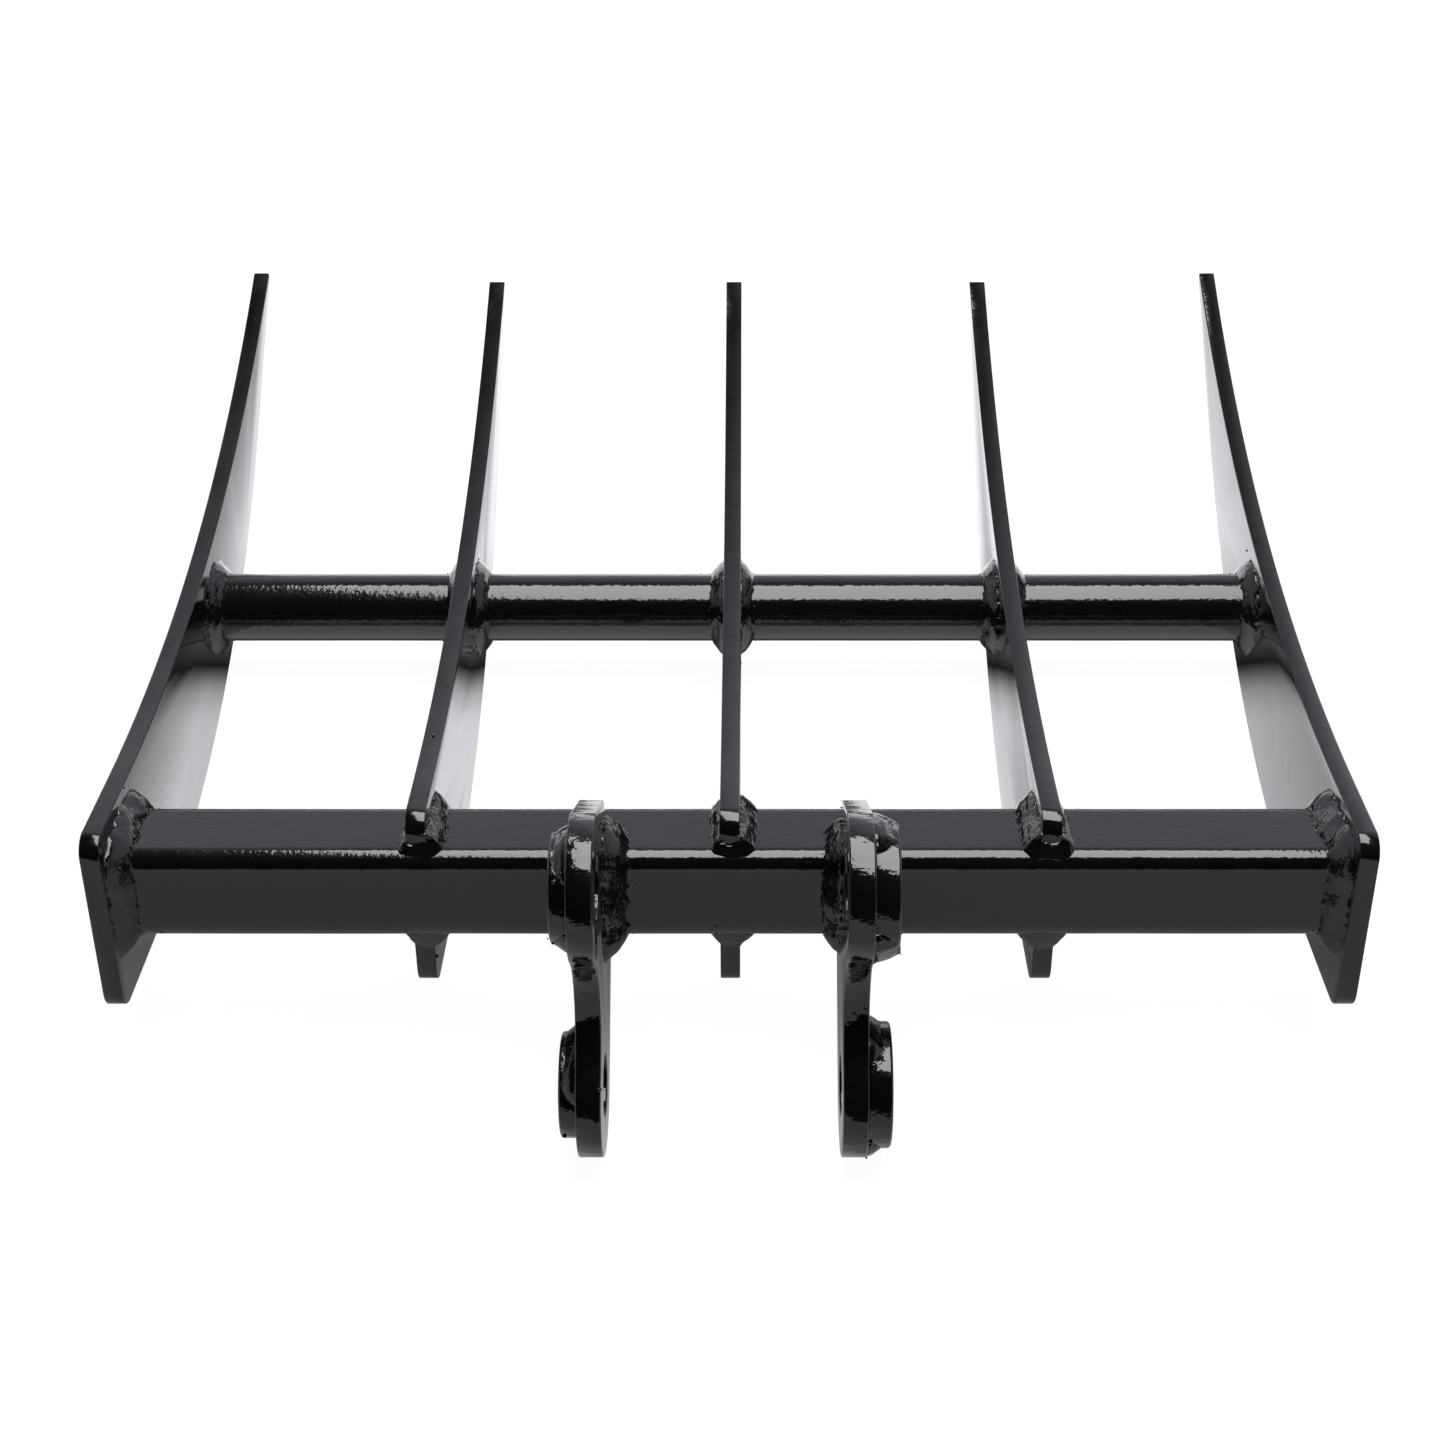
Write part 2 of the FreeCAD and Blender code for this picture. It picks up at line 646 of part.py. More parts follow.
def make_notch_weld(name, core):
    """Fillets on both faces of an inner tine round its notch, and round its fingers' fronts."""
    label = name + "_notch_weld"
    middle = tine_middle(name)
    half = size.tine_thickness / 2
    reach = half + size.beam_weld * 2
    low, high = BEAM_FLOOR - size.beam_size, BEAM_TOP + size.beam_size
    pair = join(label + "_pair", [seam(label + "_left", middle - half, -1),
                                  seam(label + "_right", middle + half, 1)])
    front = block(label + "_front", (middle - reach, BEAM_FRONT - size.beam_size, low),
                  (middle + reach, FINGER_FRONT, high))
    sides = subtract(label + "_sides", pair, front)
    ends = [bead_end(label + "_top_end", middle, FINGER_FRONT, BEAM_TOP, down=False),
            bead_end(label + "_low_end", middle, FINGER_FRONT, BEAM_FLOOR, down=True)]
    whole = join(label + "_whole", [sides] + ends)
    plate = block(label + "_plate", (middle - half, FINGER_FRONT, low),
                  (middle + half, BEAM_BACK + size.beam_size, high))
    return subtract(label, subtract(label + "_clear", whole, plate), core)


def rest_tilt():
    """Angle of the floor that touches both the ears' lower lobes and the lowest tines' bellies."""
    tilts = []
    for length in (size.outer_tine_length, size.inner_tine_length):
        centre = belly_arc(tine_tip(length)[1])[0]
        dy = centre[0] - LINK_PIN[0].value
        dz = centre[1] - LINK_PIN[1].value
        gain = size.belly_radius.value - size.lobe_radius.value
        tilts.append(math.degrees(math.acos(gain / math.hypot(dy, dz)) - math.atan2(dy, dz)))
    return min(tilts)


def build_pieces():
    pieces = [make_beam(), make_cross_tube()]
    core = beam_core()
    for name in TINES:
        pieces.append(make_tine(name))
        pieces.append(make_tube_weld(name))
    for name in INNER_TINES:
        pieces.append(make_notch_weld(name, core))
    for name, side in SIDES.items():
        pieces.append(make_ear(name, side))
        pieces.append(make_ear_weld(name, side, core))
        pieces.append(make_end_weld(name, side, core))
        for pin, centre in (("dipper", DIPPER_PIN), ("link", LINK_PIN)):
            pieces.append(make_boss(name, side, pin, centre))
            pieces.append(make_boss_weld(name, side, pin, centre))
    return pieces


def lay_down(pieces):
    """Tilts every piece about the dipper pin, so that the rake lies on its back."""
    turn = FreeCAD.Rotation(ACROSS, -rest_tilt())
    for piece in pieces:
        piece.Placement = FreeCAD.Placement(piece.Placement.Base, turn)


def check(pieces):
    for thing in doc.Objects:
        if "Invalid" in thing.State or "Error" in thing.State:
            raise RuntimeError("%s failed: %s" % (thing.Label, thing.State))
    for piece in pieces:
        if piece.Shape.isNull() or not piece.Shape.isValid() or not piece.Shape.Solids:
            raise RuntimeError(piece.Label + " has no sound solid")


pieces = build_pieces()
lay_down(pieces)
doc.recompute()
check(pieces)
os.makedirs("parts", exist_ok=True)
for piece in pieces:
    piece.Shape.exportStep("parts/%s.step" % piece.Label)
    box = piece.Shape.BoundBox
    print("%-28s %d solids %10.1f mm3  X %.1f %.1f  Y %.1f %.1f  Z %.1f %.1f" % (
        piece.Label, len(piece.Shape.Solids), piece.Shape.Volume,
        box.XMin, box.XMax, box.YMin, box.YMax, box.ZMin, box.ZMax))
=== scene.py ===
"""Looks of the excavator rake: gloss black enamel over plate, tube and hand-laid welds."""

import json
import math
import random

import bmesh
import bpy
from mathutils import Matrix, Vector, noise


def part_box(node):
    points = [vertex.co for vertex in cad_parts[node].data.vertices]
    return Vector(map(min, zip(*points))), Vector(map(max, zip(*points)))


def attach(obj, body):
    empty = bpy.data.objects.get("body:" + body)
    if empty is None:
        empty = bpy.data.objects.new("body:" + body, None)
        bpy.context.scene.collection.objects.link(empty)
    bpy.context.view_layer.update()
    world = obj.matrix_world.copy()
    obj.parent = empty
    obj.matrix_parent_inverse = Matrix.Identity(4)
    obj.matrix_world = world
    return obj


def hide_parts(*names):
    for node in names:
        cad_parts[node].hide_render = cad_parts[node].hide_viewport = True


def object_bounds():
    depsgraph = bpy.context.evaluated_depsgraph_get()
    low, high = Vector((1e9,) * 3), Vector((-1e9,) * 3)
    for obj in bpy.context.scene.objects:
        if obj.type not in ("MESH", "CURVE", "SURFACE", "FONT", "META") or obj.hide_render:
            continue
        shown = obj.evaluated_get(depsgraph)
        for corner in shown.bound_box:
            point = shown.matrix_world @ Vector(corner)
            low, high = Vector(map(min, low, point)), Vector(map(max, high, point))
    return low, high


MM = 0.001

# Sizes of the rake with its beam level, as the frame was built; y runs to the tips, z up.
BEAM_FRONT = 47 * MM
BEAM_TOP = -13.1 * MM
BEAM_SIZE = 50.8 * MM
BEAM_WALL = 5 * MM
BEAM_CORNER = 8.7 * MM
TUBE_AT = (310 * MM, -8 * MM)
TUBE_RADIUS = 20 * MM
TUBE_WALL = 4 * MM
FINGER_FRONT = BEAM_FRONT + 7 * MM
EAR_WRAP = 30 * MM
LINK_LEVEL = (2 * MM, -120 * MM)
LEFT_BOSS_RADIUS = 26.5 * MM
RIGHT_BOSS_RADIUS = 31.5 * MM

# The beam's own rolled seam, a faint line along its front.
SEAM_HEIGHT = -39.6 * MM
SEAM_HALF_WIDTH = 0.6 * MM
SEAM_DEPTH = 0.02 * MM

# The tubes' facets: rows along x, spacing round the section and how much wider it is on flats.
TUBE_STATIONS = 90
BEAM_STEP = 1.0 * MM
TUBE_STEP = 1.2 * MM
FLAT_STRIDE = 1.5
# The slight waves of their walls: how many to the metre along x and across it, and their height.
WAVES_ALONG = 16
WAVES_ACROSS = 40
BEAM_WAVES = 0.12 * MM
TUBE_WAVES = 0.08 * MM

# The enamel: a clear gloss over a black ground, and how wide the features of its surface are.
BLACK = (0.0036, 0.0037, 0.0046)
GROUND_IOR = 1.36
GLOSS_IOR = 1.45
GLOSS_ROUGHNESS = 0.045
GROUND_ROUGHNESS = (0.10, 0.22)
DARKER, LIGHTER = 0.7, 1.5
CLOUD = 60 * MM
SHEEN_PATCH = 25 * MM
WAVE = 10 * MM
PEEL = 2.2 * MM

# How far the paint rounds the plates' edges.
TINE_EDGE = 0.8 * MM
EAR_EDGE = 1.0 * MM
BOSS_EDGE = 0.5 * MM
EDGE_SEGMENTS = 3
EDGE_ANGLE = math.radians(28)
# Facets of the frame's plates that turn less than this are one face, and closer points are one.
FLAT_ANGLE = math.radians(0.5)
SAME = 0.002 * MM
SHARP_ANGLE = math.radians(40)

# Weld beads: the spacing of their cuts and their legs on each wall.
STEP = 0.7 * MM
TUBE_LEG = 7.5 * MM
TUBE_RISE = TUBE_LEG * 1.15
BEAM_LEG = 10.5 * MM
EAR_LEG = 12 * MM
SMALL_EAR_LEG = BEAM_LEG * 0.85
BOSS_RISE = 4.2 * MM

# Round the beam a bead grows down its front to the foot, and is thin below: where on the
# section these parts begin, as the outward direction in degrees, and the shares of its leg.
FRONT, FOOT, UNDER = 180, 222, 262
FOOT_SHARE = 1.25
UNDER_SHARE = 0.45

# Round the front of a finger: the bead's cuts, how far it bows out, how it leans down, how much
# shorter its lead gets, and how much lower it stands on top or further it hangs at the foot.
FRONT_CUTS = 24
FRONT_BOW = 1 * MM
FRONT_LEAN = (0.8, 0.6)
FRONT_PULL = 0.3
TOP_HANG = -0.62
FOOT_HANG = 0.35

# Spatter beside a bead: how many drops and how far from it they lie.
TUBE_SPATTER = (26, 9 * MM)
END_SPATTER = (30, 9 * MM)
NOTCH_SPATTER = (24, 8 * MM)
EAR_SPATTER = (24, 10 * MM)
BOSS_SPATTER = (8, 3 * MM)
# The finer pimples on the beam beside the left ear: how many, how far they reach, how far they
# are sunk in, and the smallest one's radius and how much larger they get, in millimetres.
PIMPLES = 75
PIMPLE_REACH = 15 * MM
PIMPLE_SUNK = 0.1 * MM
PIMPLE, PIMPLE_RANGE = 0.22, 0.2

# Legs of each inner tine's beads on its left and right face.
NOTCH_LEGS = {"left_inner": (4.0 * MM, 8.5 * MM), "centre": (5.0 * MM, 8.0 * MM),
              "right_inner": (9.0 * MM, 6.5 * MM)}
# The two beads on each boss: where they start and how far they run, in degrees, and their lead.
BOSS_BEADS = {("left", "dipper"): ((30, 114), (200, 95), 6.5 * MM),
              ("left", "link"): ((30, 134), (250, 60), 6.5 * MM),
              ("right", "dipper"): ((12, 104), (188, 100), 10.0 * MM),
              ("right", "link"): ((20, 102), (205, 100), 7.0 * MM)}
# Drops on the left inner tine's stub, on its upper edge and, twice, in the beam's paint:
# x, y, z and radius in millimetres.
LEFT_DROPS = ((-151.2, 55.8, -79.9, 1.4), (-151.6, 105.9, 22.0, 1.3),
              (-121.0, 50.0, -16.1, 1.0), (-118.7, 50.0, -16.1, 0.9))
# Blobs about the bosses: where each stands along x, how far from the pin's axis, at what angle
# in degrees, and its radius, in millimetres.
BLOBS = {("right", "dipper"): ((67.6, 35.0, 166, 1.2), (67.8, 35.0, 170, 1.4),
                               (67.9, 35.0, 175, 1.3), (69.9, 31.8, 194, 2.4)),
         ("right", "link"): ((70.4, 32.0, 125, 2.2), (69.2, 32.4, 205, 1.4)),
         ("left", "dipper"): ((-77.5, 27.4, 132, 1.6), (-80.6, 26.9, 140, 1.3)),
         ("left", "link"): ((-63.2, 35.6, 145, 1.3), (-82.0, 26.6, 212, 1.2))}

# The floor: how bright the camera sees it, the surface share that shows shadows, and the
# distances between which its glow rises to white.
FLOOR_SIZE = 9
FLOOR_COLOUR = (0.8, 0.8, 0.8, 1)
FLOOR_GLOW = 0.965
SHADOW_SHARE = 0.12
GLOW_RISE = (0.7, 1.6)
# What paint mirrors of the floor, by y: a glow with painted shadow under the beam and the tube,
# pale behind.
FLOOR_Y = 0.2
PAINTED_FLOOR_SHADOW = ((-0.75, 0.5), (-0.3, 0.36), (-0.05, 0.36), (0.07, 0.08), (0.12, 0.10),
               (0.17, 0.76), (0.245, 0.70), (0.267, 0.45), (0.287, 0.0), (0.315, 0.04),
               (0.345, 0.7), (0.40, 1.0), (0.6, 1.0))
COOL = 1.05

# The studio that the paint mirrors: pale low behind and at the sides, dark in front and above.
STUDIO_BACK = 0.82
STUDIO_LIFT = -0.57
STUDIO_SIDES = 0.9
STUDIO_SHADE = ((0.0, (0.006, 0.006, 0.006)), (0.06, (0.08, 0.08, 0.088)),
                (0.33, (0.37, 0.37, 0.407)), (0.63, (0.50, 0.505, 0.56)))

# The soft light overhead, in panels from the left: each one's left end and near edge.
SOFTBOX_HEIGHT = 1.55
SOFTBOX_BACK = 1.4
SOFTBOX_RIGHT = 0.8
SOFTBOX_RADIANCE = 5.9
SOFTBOX_PANELS = ((-0.63, 1.05), (-0.56, 0.70), (-0.49, 0.36), (-0.42, 0.06), (-0.35, -0.25))

# The camera that took the photograph, in the same frame.
CAMERA_AT = (0.0087, -0.6449, 0.8296)
CAMERA_DOWN = 47.79
CAMERA_LENS = 55.25
CAMERA_SHIFT = -0.0189
SENSOR_WIDTH = 36

OUTER_TINES = {"left_outer": 1, "right_outer": -1}
INNER_TINES = ("left_inner", "centre", "right_inner")

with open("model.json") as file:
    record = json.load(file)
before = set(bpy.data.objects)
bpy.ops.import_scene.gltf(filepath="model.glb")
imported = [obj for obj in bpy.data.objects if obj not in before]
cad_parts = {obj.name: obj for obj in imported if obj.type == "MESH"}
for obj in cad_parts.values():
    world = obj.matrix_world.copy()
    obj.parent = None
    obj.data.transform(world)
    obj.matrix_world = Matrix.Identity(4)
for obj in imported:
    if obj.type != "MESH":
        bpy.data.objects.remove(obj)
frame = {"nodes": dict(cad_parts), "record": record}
cad_box = [list(corner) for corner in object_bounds()]


def frame_tilt():
    """How far the rake is turned about the upper pin so that it lies on its back."""
    mounts = {mount["name"]: mount for mount in frame["record"]["mounts"]}
    _, y, z = mounts["link_pin_bore"]["pos_m"]
    return math.atan2(LINK_LEVEL[1], LINK_LEVEL[0]) - math.atan2(z, y)


TILT = Matrix.Rotation(-frame_tilt(), 3, "X")


def add(mesh, name, material):
    """A smooth shaded object in the scene."""
    piece = bpy.data.objects.new(name, mesh)
    bpy.context.scene.collection.objects.link(piece)
    mesh.materials.clear()
    mesh.materials.append(material)
    mesh.polygons.foreach_set("use_smooth", [True] * len(mesh.polygons))
    return piece


def stand_for(piece, node):
    """Puts the piece in the place of a CAD node."""
    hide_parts(node)
    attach(piece, "root")


class Nodes:
    """Short calls for a node tree."""

    def __init__(self, tree):
        self.tree = tree
        tree.nodes.clear()

    def add(self, kind, **settings):
        node = self.tree.nodes.new("ShaderNode" + kind)
        for key, value in settings.items():
            if hasattr(node, key):
                setattr(node, key, value)
            else:
                node.inputs[key.replace("_", " ")].default_value = value
        return node

    def wire(self, source, target, socket):
        self.tree.links.new(source, target.inputs[socket])

    def maths(self, operation, first, second):
        node = self.add("Math", operation=operation)
        for index, value in enumerate((first, second)):
            if isinstance(value, (int, float)):
                node.inputs[index].default_value = value
            else:
                self.tree.links.new(value, node.inputs[index])
        return node.outputs[0]

    def ramp(self, stops):
        """A colour ramp through its stops, each a position and a colour, in order."""
        node = self.add("ValToRGB")
        marks = node.color_ramp.elements
        for mark, (position, colour) in zip((marks[0], marks[1]), (stops[0], stops[-1])):
            mark.position, mark.color = position, (*colour, 1)
        for position, colour in stops[1:-1]:
            marks.new(position).color = (*colour, 1)
        return node

    def noise(self, place, feature, detail, rough=0.5):
        node = self.add("TexNoise", Scale=1 / feature, Detail=detail, Roughness=rough)
        self.wire(place, node, "Vector")
        return node.outputs["Fac"]


def enamel(name, colour, peel, cut_wave, face_wave):
    """Thick gloss enamel.

    peel is the height of its orange peel, cut_wave and face_wave those of the waves in the cut
    edges and in the flat faces under it.
    """
    material = bpy.data.materials.new(name)
    material.use_nodes = True
    nodes = Nodes(material.node_tree)
    out = nodes.add("OutputMaterial")
    paint = nodes.add("BsdfPrincipled")
    paint.inputs["IOR"].default_value = GROUND_IOR
    paint.inputs["Coat Weight"].default_value = 1.0
    paint.inputs["Coat IOR"].default_value = GLOSS_IOR
    paint.inputs["Coat Roughness"].default_value = GLOSS_ROUGHNESS
    nodes.wire(paint.outputs[0], out, "Surface")
    place = nodes.add("TexCoord").outputs["Object"]
    tone = nodes.ramp(((0, [part * DARKER for part in colour]),
                       (1, [part * LIGHTER for part in colour])))
    nodes.wire(nodes.noise(place, CLOUD, 4), tone, "Fac")
    nodes.wire(tone.outputs[0], paint, "Base Color")
    dull, rough = GROUND_ROUGHNESS
    sheen = nodes.add("MapRange", To_Min=dull, To_Max=rough)
    nodes.wire(nodes.noise(place, SHEEN_PATCH, 5, 0.6), sheen, "Value")
    nodes.wire(sheen.outputs[0], paint, "Roughness")
    # Sawn and flame-cut edges lie along the plates' rims, which face away from x.
    across = nodes.add("SeparateXYZ")
    nodes.wire(nodes.add("NewGeometry").outputs["True Normal"], across, 0)
    flat = nodes.maths("ABSOLUTE", across.outputs[0], 0)
    swing = nodes.add("MapRange", From_Min=0.7, From_Max=0.3, To_Min=face_wave, To_Max=cut_wave)
    nodes.wire(flat, swing, "Value")
    broad = nodes.maths("MULTIPLY", nodes.noise(place, WAVE, 3, 0.55), swing.outputs[0])
    skin = nodes.maths("MULTIPLY", nodes.noise(place, PEEL, 1), peel)
    bump = nodes.add("Bump", Strength=1.0, Distance=1.0)
    nodes.wire(nodes.maths("ADD", broad, skin), bump, "Height")
    nodes.wire(bump.outputs[0], paint, "Normal")
    nodes.wire(bump.outputs[0], paint, "Coat Normal")
    return material


def dressed(node, width, material):
    """A copy of a CAD node with its edges rounded as paint leaves them."""
    form = bmesh.new()
    form.from_mesh(frame["nodes"][node].data)
    bmesh.ops.remove_doubles(form, verts=form.verts, dist=SAME)
    bmesh.ops.dissolve_limit(form, angle_limit=FLAT_ANGLE, verts=form.verts, edges=form.edges)
    mesh = bpy.data.meshes.new(node + "_painted")
    form.to_mesh(mesh)
    form.free()
    piece = add(mesh, node + "_painted", material)
    bevel = piece.modifiers.new("edges", "BEVEL")
    bevel.width = width
    bevel.segments = EDGE_SEGMENTS
    bevel.limit_method = "ANGLE"
    bevel.angle_limit = EDGE_ANGLE
    bevel.harden_normals = True
    applied(piece)
    stand_for(piece, node)


def applied(piece):
    """Gives the piece the mesh that its modifiers make."""
    graph = bpy.context.evaluated_depsgraph_get()
    mesh = bpy.data.meshes.new_from_object(piece.evaluated_get(graph))
    piece.modifiers.clear()
    piece.data = mesh


def rounded_square(inset, corner, step):
    """Points round the beam's section with their outward directions.

    They start at the top of its front and go back over the top. inset is how far the loop lies
    inside the beam's outer wall.
    """
    low, high = BEAM_TOP - BEAM_SIZE + inset, BEAM_TOP - inset
    near, far = BEAM_FRONT + inset, BEAM_FRONT + BEAM_SIZE - inset
    corners = ((near, high, 180, 1, -1), (far, high, 90, -1, -1), (far, low, 0, -1, 1),
               (near, low, -90, 1, 1))
    loop = []
    turns = max(2, math.ceil(corner * math.pi / 2 / step))
    for y, z, start, inward, down in corners:
        centre = (y + corner * inward, z + corner * down)
        for turn in range(turns + 1):
            angle = math.radians(start - 90 * turn / turns)
            out = (math.cos(angle), math.sin(angle))
            loop.append((centre[0] + corner * out[0], centre[1] + corner * out[1], *out))
    dense = []
    for here, there in zip(loop, loop[1:] + loop[:1]):
        dense.append(here)
        gap = math.dist(here[:2], there[:2])
        extra = math.floor(gap / step / FLAT_STRIDE)
        for number in range(1, extra + 1):
            share = number / (extra + 1)
            dense.append(tuple(a + (b - a) * share for a, b in zip(here, there)))
    return dense


def circle(centre, radius, step, start=0.0, sweep=360.0):
    """Points round a centre with their outward directions, from y towards z."""
    count = math.ceil(radius * math.radians(sweep) / step)
    loop = []
    for number in range(count if sweep == 360 else count + 1):
        angle = math.radians(start + sweep * number / count)
        out = (math.cos(angle), math.sin(angle))
        loop.append((centre[0] + radius * out[0], centre[1] + radius * out[1], *out))
    return loop


def tube(name, node, outer, inner, waves, material):
    """A hollow section along x between the CAD node's ends, drawn from its outer and inner loop."""
    low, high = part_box(node)
    count = len(outer)
    verts, faces = [], []
    for station in range(TUBE_STATIONS + 1):
        x = low.x + (high.x - low.x) * station / TUBE_STATIONS
        for y, z, out_y, out_z in outer:
            place = Vector((x * WAVES_ALONG, y * WAVES_ACROSS, z * WAVES_ACROSS))
            swell = waves * noise.noise(place)
            if out_y < -0.99 and abs(z - SEAM_HEIGHT) < SEAM_HALF_WIDTH:
                swell -= SEAM_DEPTH
            verts.append(TILT @ Vector((x, y + out_y * swell, z + out_z * swell)))
    base = len(verts)
    for x in (low.x, high.x):
        verts.extend(TILT @ Vector((x, y, z)) for y, z, _, _ in inner)
    for number in range(count):
        after = (number + 1) % count
        for station in range(TUBE_STATIONS):
            row = station * count
            faces.append((row + number, row + after, row + count + after, row + count + number))
        last = TUBE_STATIONS * count
        faces.append((base + number, base + after, after, number))
        faces.append((last + number, last + after, base + count + after, base + count + number))
        faces.append((base + count + number, base + count + after, base + after, base + number))
    mesh = bpy.data.meshes.new(name)
    mesh.from_pydata(verts, [], faces)
    outward(mesh)
    piece = add(mesh, name, material)
    mesh.set_sharp_from_angle(angle=SHARP_ANGLE)
    stand_for(piece, node)


def outward(mesh):
    """Turns the faces outwards."""
    form = bmesh.new()
    form.from_mesh(mesh)
    bmesh.ops.recalc_face_normals(form, faces=form.faces)
    form.to_mesh(mesh)
    form.free()


class Bead:
    """A weld piece: fillets swept along their roots, with a hand's unevenness, and spatter.

    A root is a point with the directions of both walls and the fillet's reach along each.
    """

    # Facets across the fillet, how far its back is sunk in the walls, and its face's hollowness.
    ACROSS = 12
    SUNK = 2.2 * MM
    HOLLOW = 1.65
    # How long the waves of its legs and of its toes are, and their share of the leg.
    LEG_WAVE, LEG_SHARE = 16 * MM, 0.2
    TOE_WAVE, TOE_SHARE = 3.5 * MM, 0.24
    TOE_WIDTH = 0.3
    # Lumps on its face, broad and small, and ripples that bow forwards in the middle.
    LUMP, SMALL_LUMP = 20 * MM, 6 * MM
    LUMP_SHARE, SMALL_LUMP_SHARE = 0.6, 0.35
    LUMP_HEIGHT = 0.85 * MM
    RIPPLE, RIPPLE_BOW = 2.9 * MM, 3.5 * MM
    RIPPLE_HEIGHT = 0.012 * MM
    # An open bead's ends taper over this length from this share, and a ring's ends blend.
    TAPER, TAPER_FROM = 8 * MM, 0.12
    BLEND = 12 * MM
    # Drops of spatter: the smallest one's radius, how much larger they get, and the share of
    # them on the plate.
    DROP, DROP_RANGE = 0.22, 0.5
    ON_PLATE = 0.6

    def __init__(self, name):
        self.name = name
        self.dice = random.Random(name)
        self.offset = Vector([self.dice.uniform(-50, 50) for _ in range(3)])
        self.verts = []
        self.faces = []

    def wobble(self, travel, feature, row):
        """Unevenness along the bead, where row tells one line of it from another."""
        return noise.noise(Vector((travel / feature, row, 0)) + self.offset)

    def section(self, root, travel, turns, taper):
        """One cut across the fillet."""
        middle, along, up, lead, rise = root
        lead = lead * (1 + turns(self.LEG_WAVE, 3) * self.LEG_SHARE) * taper
        rise = rise * (1 + turns(self.LEG_WAVE, 9) * self.LEG_SHARE) * taper
        toes = (turns(self.TOE_WAVE, 5) * lead * self.TOE_SHARE,
                turns(self.TOE_WAVE, 11) * rise * self.TOE_SHARE)
        out = (along + up).normalized()
        points = [middle + along * (lead + toes[0]) - up * self.SUNK]
        for step in range(self.ACROSS + 1):
            share = step / self.ACROSS
            angle = share * math.pi / 2
            spot = middle + along * lead * math.cos(angle) ** self.HOLLOW
            spot = spot + up * rise * math.sin(angle) ** self.HOLLOW
            fade = math.sin(math.pi * share) ** 0.6
            lump = self.LUMP_SHARE * turns(self.LUMP, 20 + share * 3)
            lump += self.SMALL_LUMP_SHARE * turns(self.SMALL_LUMP, 30 + share * 7)
            bowed = travel - self.RIPPLE_BOW * (2 * share - 1) ** 2
            height = self.LUMP_HEIGHT * lump
            height += self.RIPPLE_HEIGHT * math.sin(bowed / self.RIPPLE * math.tau)
            spot = spot + out * fade * taper * height
            spot = spot + along * toes[0] * max(0, 1 - share / self.TOE_WIDTH) ** 2
            points.append(spot + up * toes[1] * max(0, 1 - (1 - share) / self.TOE_WIDTH) ** 2)
        points.append(middle + up * (rise + toes[1]) - along * self.SUNK)
        points.append(middle - out * self.SUNK)
        return points

    def unevenness(self, length, travel, shift, blend):
        """The unevenness at a length along the bead, led back to the start's as a ring closes."""

        def turns(feature, row):
            here = self.wobble(length, feature, row + shift)
            return here + (self.wobble(length - travel, feature, row + shift) - here) * blend

        return turns

    def run(self, roots, closed):
        """Sweeps the fillet along its roots, as a ring or with tapered ends."""
        start = len(self.verts)
        travel = 0.0
        lengths = [0.0]
        for here, there in zip(roots, roots[1:]):
            travel += (there[0] - here[0]).length
            lengths.append(travel)
        shift = self.dice.uniform(-20, 20)
        for root, length in zip(roots, lengths):
            left = travel - length
            taper = 1.0
            if not closed:
                grown = (max(0, min(length, left)) / self.TAPER) ** 0.6
                taper = min(1.0, self.TAPER_FROM + (1 - self.TAPER_FROM) * grown)
            blend = max(0.0, 1 - left / self.BLEND) if closed else 0.0
            turns = self.unevenness(length, travel, shift, blend)
            for point in self.section(root, length, turns, taper):
                self.verts.append(TILT @ point)
        wide = self.ACROSS + 4
        rows = len(roots)
        for row in range(rows if closed else rows - 1):
            here = start + row * wide
            there = start + (row + 1) % rows * wide
            for number in range(wide):
                after = (number + 1) % wide
                self.faces.append((here + number, here + after, there + after, there + number))
        if not closed:
            self.faces.append(tuple(range(start, start + wide)))
            last = start + (rows - 1) * wide
            self.faces.append(tuple(range(last + wide - 1, last - 1, -1)))

    def spatter(self, roots, count, reach):
        """Small drops on both walls beside the fillet."""
        for _ in range(count):
            middle, along, up, lead, rise = self.dice.choice(roots)
            way, leg = (along, lead) if self.dice.random() < self.ON_PLATE else (up, rise)
            away = leg * 1.02 + reach * self.dice.random() ** 2
            radius = (self.DROP + self.DROP_RANGE * self.dice.random() ** 3) * MM
            self.ball(middle + way * away, radius)

    def ball(self, centre, radius):
        """A drop of spatter, half sunk."""
        drop = bmesh.new()
        bmesh.ops.create_icosphere(drop, subdivisions=2, radius=radius)
        start = len(self.verts)
        for vert in drop.verts:
            self.verts.append(TILT @ (Vector(centre) + vert.co))
        for face in drop.faces:
            self.faces.append(tuple(start + vert.index for vert in face.verts))
        drop.free()

    def finish(self, material, node):
        """Makes the piece and puts it in the place of its CAD node."""
        mesh = bpy.data.meshes.new(self.name)
        mesh.from_pydata(self.verts, [], self.faces)
        outward(mesh)
        stand_for(add(mesh, self.name, material), node)


def roots_on(loop, face, way, lead, rise):
    """Roots of a fillet between a plate whose face is at x = face and what the loop goes round."""
    return [(Vector((face, y, z)), Vector((way, 0, 0)), Vector((0, out_y, out_z)), lead, rise)
            for y, z, out_y, out_z in loop]


def between(value, low, high, first, last):
    """What goes evenly from first to last while value goes from low to high."""
    return first + (last - first) * (value - low) / (high - low)


